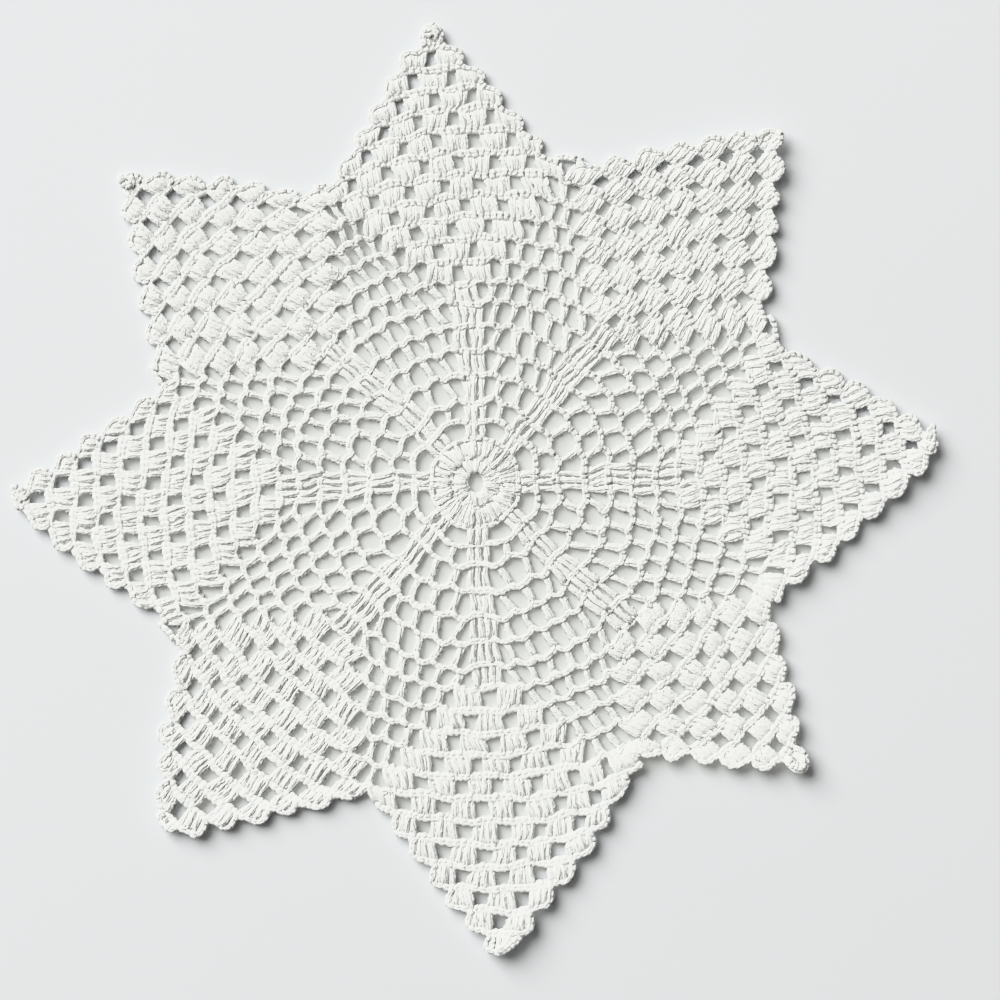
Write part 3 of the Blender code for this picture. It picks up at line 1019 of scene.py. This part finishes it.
def new_surface(name):
    """A material with its tree, its surface and the place of each spot on the object."""
    material = bpy.data.materials.new(name)
    material.use_nodes = True
    tree = material.node_tree
    where = add(tree, "ShaderNodeTexCoord").outputs["Object"]
    return material, tree, tree.nodes["Principled BSDF"], where


print("node helpers ready")

# %% Twist and fuzz as a node group
FUZZ_SCALE, FUZZ_RISE = 2600.0, 0.2
LUMP_SCALE, LUMP_RISE = 1000.0, 0.7
PLY_RISE, PLY_ROUND = 0.3, 0.5


def make_twist():
    """Group: plies wound round the thread by its map, and fuzz by place."""
    group = bpy.data.node_groups.new("twist_of_plies", "ShaderNodeTree")
    for name, kind in (("Map", "NodeSocketVector"), ("Place", "NodeSocketVector"),
                       ("Plies", "NodeSocketFloat"), ("Turn", "NodeSocketFloat")):
        group.interface.new_socket(name=name, in_out="INPUT", socket_type=kind)
    for name in ("Height", "Groove", "Fuzz"):
        group.interface.new_socket(name=name, in_out="OUTPUT", socket_type="NodeSocketFloat")
    came = add(group, "NodeGroupInput").outputs
    apart = add(group, "ShaderNodeSeparateXYZ", {0: came["Map"]}).outputs
    along = work_out(group, apart[1], ("DIVIDE", came["Turn"]))
    turned = work_out(group, apart[0], ("MULTIPLY", came["Plies"]), ("ADD", along),
                      ("MULTIPLY", 2.0 * math.pi))
    round_ply = work_out(group, turned, ("SINE", 0.0), ("ADD", 1.0), ("MULTIPLY", 0.5),
                         ("POWER", PLY_ROUND))
    fuzz = noise(group, came["Place"], FUZZ_SCALE, 3.0)
    fuzz_rise = work_out(group, fuzz, ("MULTIPLY", FUZZ_RISE))
    lumps = noise(group, came["Place"], LUMP_SCALE, 1.0)
    lump_rise = work_out(group, lumps, ("MULTIPLY", LUMP_RISE))
    bump = work_out(group, round_ply, ("MULTIPLY", PLY_RISE), ("ADD", fuzz_rise),
                    ("ADD", lump_rise))
    groove = work_out(group, 1.0, ("SUBTRACT", round_ply))
    add(group, "NodeGroupOutput", {"Height": bump, "Groove": groove, "Fuzz": fuzz})
    return group


twist = make_twist()
print("nodes in the twist:", len(twist.nodes))

# %% The thread's material
COTTON_LIGHT = (0.937, 0.947, 0.917, 1.0)
# the darker colour comes in by a random tone for each stitch, and as painted shade in the grooves
# between plies
COTTON_RANDOM_TONE_AND_PAINTED_SHADE = (0.897, 0.907, 0.877, 1.0)
TONE_SHADE, PAINTED_GROOVE_SHADE = 0.35, 0.5
PLIES, TURN = 3.0, 1.6
SMOOTHEST, FUZZ_ROUGH = 0.55, 0.2
BUMP_STRENGTH, BUMP_DISTANCE = 0.5, 0.0005
SHEEN, GLOSS = 0.7, 0.35


def make_cotton():
    cotton, tree, surface, where = new_surface("white_cotton_thread")
    seam_map = add(tree, "ShaderNodeUVMap", uv_map="thread").outputs[0]
    inputs = {"Map": seam_map, "Place": where, "Plies": PLIES, "Turn": TURN}
    plies = add(tree, "ShaderNodeGroup", inputs, node_tree=twist).outputs
    tone = add(tree, "ShaderNodeAttribute", attribute_name="tone").outputs["Fac"]
    # painted shade: the colour is darkened in the grooves between plies, on top of each stitch's
    # random tone
    painted_groove_shade = work_out(tree, plies["Groove"], ("MULTIPLY", PAINTED_GROOVE_SHADE))
    tone_and_painted_shade = work_out(tree, tone, ("MULTIPLY", TONE_SHADE), ("ADD", painted_groove_shade))
    bump = add(tree, "ShaderNodeBump", {
        "Strength": BUMP_STRENGTH, "Distance": BUMP_DISTANCE, "Height": plies["Height"]})
    feed(tree, surface, {
        "Base Color": mixed(tree, tone_and_painted_shade, COTTON_LIGHT, COTTON_RANDOM_TONE_AND_PAINTED_SHADE),
        "Roughness": work_out(tree, plies["Fuzz"], ("MULTIPLY", FUZZ_ROUGH), ("ADD", SMOOTHEST)),
        "Normal": bump.outputs[0],
        "Sheen Weight": SHEEN,
        "Specular IOR Level": GLOSS,
    })
    return cotton


cotton = make_cotton()
for piece in pieces.values():
    piece.data.materials.append(cotton)
print("threads dressed:", len(pieces))

# %% [markdown]
# ## The area of each part
# The doily is one cloth that lies on a table. The stitched parts stand in for the flat solid,
# which is hidden, and each gets the area inside its outline on the chart. The middle, a disc with
# eight thin arms, fills under a quarter of its box. Every part hangs from one root. A declaration
# takes no share under 0.3, so its area is raised to just above that.

MEAN_POSTS_IN_SPOKE = 3.2
LOBE_FROM = 0.7


def polygon_area(corners):
    x, y = np.array(corners).T
    return abs(float(np.sum(x * np.roll(y, -1) - y * np.roll(x, -1)))) / 2.0


def point_outline(number):
    """Outline of a point from its foot over the tip and back, in mm."""
    point = points[number]
    rims = {}
    for side, sign in SIDES.items():
        rim = [place(point, FOOT_LEVEL, sign * 1.5 * SPOKE_STEP)]
        for row in range(1, point["rows"] + 1):
            if row < point[side]:
                rim.append(place(point, FOOT_LEVEL + row, sign * edge_of(number, side, row)))
            else:
                lowest = LOBE_FROM if row == point[side] else 0.0
                rim.extend(rim_spot(number, side, row, rise, out)
                           for rise, out in reversed(SCALLOP) if rise > lowest)
        rim.extend(tip_spot(number, rise, sign * out) for rise, out in TIP)
        rims[side] = rim
    return rims["left"] + rims["right"][::-1]


def net_outline():
    """Outline of the net with the middle in it, from notch to notch."""
    corners = []
    for number in range(len(points)):
        levels = range(NET_ROUNDS, net_levels(number) + 1)
        corners.extend(net_edge(number, "right", level) for level in levels)
        corners.extend(net_edge(next_point(number), "left", level) for level in reversed(levels))
    return corners


areas = {point["name"]: polygon_area(point_outline(number)) * MM * MM
         for number, point in enumerate(points)}
spoke_wide, spoke_long = MEAN_POSTS_IN_SPOKE * SPOKE_STEP, FOOT_RADIUS - ROUND_TOPS[HUB_ROUNDS]
spokes = len(points) * spoke_wide * spoke_long * MM * MM
areas[MIDDLE] = math.pi * (ROUND_TOPS[HUB_ROUNDS] * MM) ** 2 + spokes
areas[NET] = polygon_area(net_outline()) * MM * MM - areas[MIDDLE]
for name, piece in pieces.items():
    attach(piece, "root")
    if name not in areas:
        continue
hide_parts("doily")

# %% [markdown]
# ## Table, light and camera
# A large window light on the left, a weaker ceiling light and a faint room light show the lace
# best: the window draws the small shadows and the others fill them. Cotton lets light through and
# these strands don't, so the pale table stands in for it with painted light: on a star just inside
# the edge of the lace it is painted darker, as painted shade under the lace, and glows faintly as
# painted light. The camera looks straight down from nearly a metre, so the doily isn't distorted.

# %% Lay the table
TABLE_HALF = 1.5
PALE, PALER = (0.795, 0.815, 0.82, 1.0), (0.805, 0.82, 0.83, 1.0)
CLOUD_SCALE, CLOUD_DETAIL = 6.0, 2.0
TABLE_ROUGH, TABLE_GLOSS = 0.8, 0.1
# painted shade and painted light: the table is painted darker under the lace and given a faint glow
# there
PAINTED_SHADE_UNDER_LACE = (0.56, 0.575, 0.555, 1.0)
NO_PAINTED_GLOW, PAINTED_GLOW = (0.0, 0.0, 0.0, 1.0), (0.165, 0.166, 0.160, 1.0)
STAR_TURN = 0.066
EDGE_AWAY = 0.0912
EDGE_LEAN = 0.866
EDGE_FADE = 0.004


def painted_light_mask(tree, where):
    """Mask of the painted shade and glow: 1 under the star, 0 outside, from the distance of a spot to
    the nearest straight edge.
    """
    apart = add(tree, "ShaderNodeSeparateXYZ", {0: where}).outputs
    radius = add(tree, "ShaderNodeVectorMath", {0: where}, operation="LENGTH").outputs["Value"]
    from_tip = work_out(tree, apart[0], ("ARCTAN2", apart[1]), ("ADD", STAR_TURN),
                        ("PINGPONG", math.pi / len(points)))
    outwards = work_out(tree, from_tip, ("SUBTRACT", EDGE_LEAN), ("COSINE", 0.0),
                        ("MULTIPLY", radius))
    inside = work_out(tree, EDGE_AWAY, ("SUBTRACT", outwards), ("DIVIDE", EDGE_FADE))
    return add(tree, "ShaderNodeClamp", {"Value": inside}).outputs[0]


def paint_table():
    paint, tree, surface, where = new_surface("pale_table_with_painted_light")
    cloudy = mixed(tree, noise(tree, where, CLOUD_SCALE, CLOUD_DETAIL), PALE, PALER)
    painted_light_share = painted_light_mask(tree, where)
    feed(tree, surface, {
        # painted shade in the base colour and a painted glow in the emission, both on the star under
        # the lace
        "Base Color": mixed(tree, painted_light_share, cloudy, PAINTED_SHADE_UNDER_LACE),
        "Emission Color": mixed(tree, painted_light_share, NO_PAINTED_GLOW, PAINTED_GLOW),
        "Emission Strength": 1.0,
        "Roughness": TABLE_ROUGH,
        "Specular IOR Level": TABLE_GLOSS,
    })
    return paint


def make_table():
    top = bmesh.new()
    bmesh.ops.create_grid(top, x_segments=1, y_segments=1, size=TABLE_HALF)
    mesh = bpy.data.meshes.new("table_top")
    top.to_mesh(mesh)
    top.free()
    mesh.materials.append(paint_table())
    return put("table_top", mesh)


table = make_table()
print("table top reaches", TABLE_HALF, "m from the middle")

# %% Light the room and set the camera
LOOK_AT = (0.00777, -0.00362)
PICTURE_WIDTH = 0.320
CAMERA_HEIGHT = 0.95
CLIP_START = 0.01
LAMPS = (
    ("window_light", (-4.0, 4.0, 4.6), 6.6, 810.0),
    ("ceiling_light", (-1.8, 1.8, 5.8), 6.0, 96.0),
)
ROOM_COLOUR, ROOM_LIGHT = (1.0, 0.96, 0.89, 1.0), 0.06


def make_lamp(name, at, size, power):
    light = bpy.data.lights.new(name, "AREA")
    light.shape = "DISK"
    light.size = size
    light.energy = power
    lamp = put(name, light)
    lamp.location = at
    lamp.rotation_euler = (-Vector(at)).to_track_quat("-Z", "Y").to_euler()


def make_camera():
    lens = bpy.data.cameras.new("camera")
    lens.sensor_fit = "HORIZONTAL"
    lens.angle = 2.0 * math.atan(PICTURE_WIDTH / 2.0 / CAMERA_HEIGHT)
    lens.clip_start = CLIP_START
    camera = put("camera", lens)
    camera.location = (*LOOK_AT, CAMERA_HEIGHT)
    return camera


scene = bpy.context.scene
scene.world = bpy.data.worlds.new("pale_room")
scene.world.use_nodes = True
tree = scene.world.node_tree
feed(tree, tree.nodes["Background"], {"Color": ROOM_COLOUR, "Strength": ROOM_LIGHT})
for lamp in LAMPS:
    make_lamp(*lamp)
scene.camera = make_camera()
scene.view_settings.view_transform = "Khronos PBR Neutral"
print("camera looks down from", CAMERA_HEIGHT, "m")
